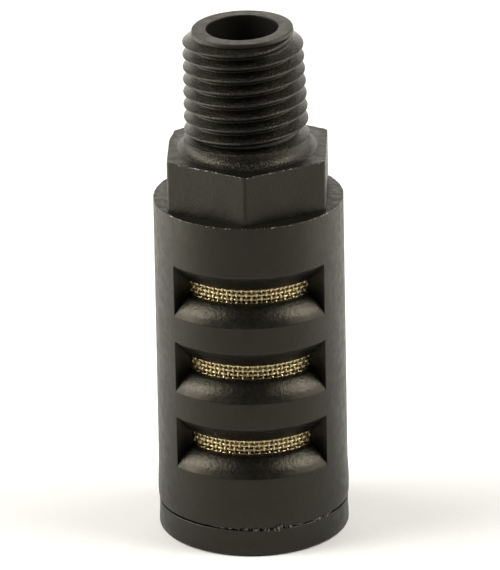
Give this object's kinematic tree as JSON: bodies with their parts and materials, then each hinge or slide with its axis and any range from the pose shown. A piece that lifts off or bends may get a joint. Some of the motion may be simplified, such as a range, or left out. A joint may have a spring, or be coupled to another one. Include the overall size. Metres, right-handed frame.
{
  "type": "pneumatic exhaust muffler",
  "caption": "Moulded pneumatic exhaust muffler with a tapered male pipe thread, a spanner hexagon, louvred windows front and back, and wire cloth behind them.",
  "frame": {"origin": "centre of the end cap's base, on the muffler's axis", "axes": "+Z along the axis towards the pipe thread; the windows face -Y and +Y; two of the hexagon's flats face -X and +X"},
  "size_m": [0.0208, 0.0208, 0.0572],
  "materials": {
    "black_nylon": "moulded black glass-filled nylon, satin",
    "wire_cloth": "woven stainless steel wire, bright with a straw tint"
  },
  "bodies": {
    "root": {"housing": "black_nylon", "end_cap": "black_nylon", "screen_outer": "wire_cloth", "screen_middle": "wire_cloth", "screen_inner": "wire_cloth"}
  },
  "joints": []
}
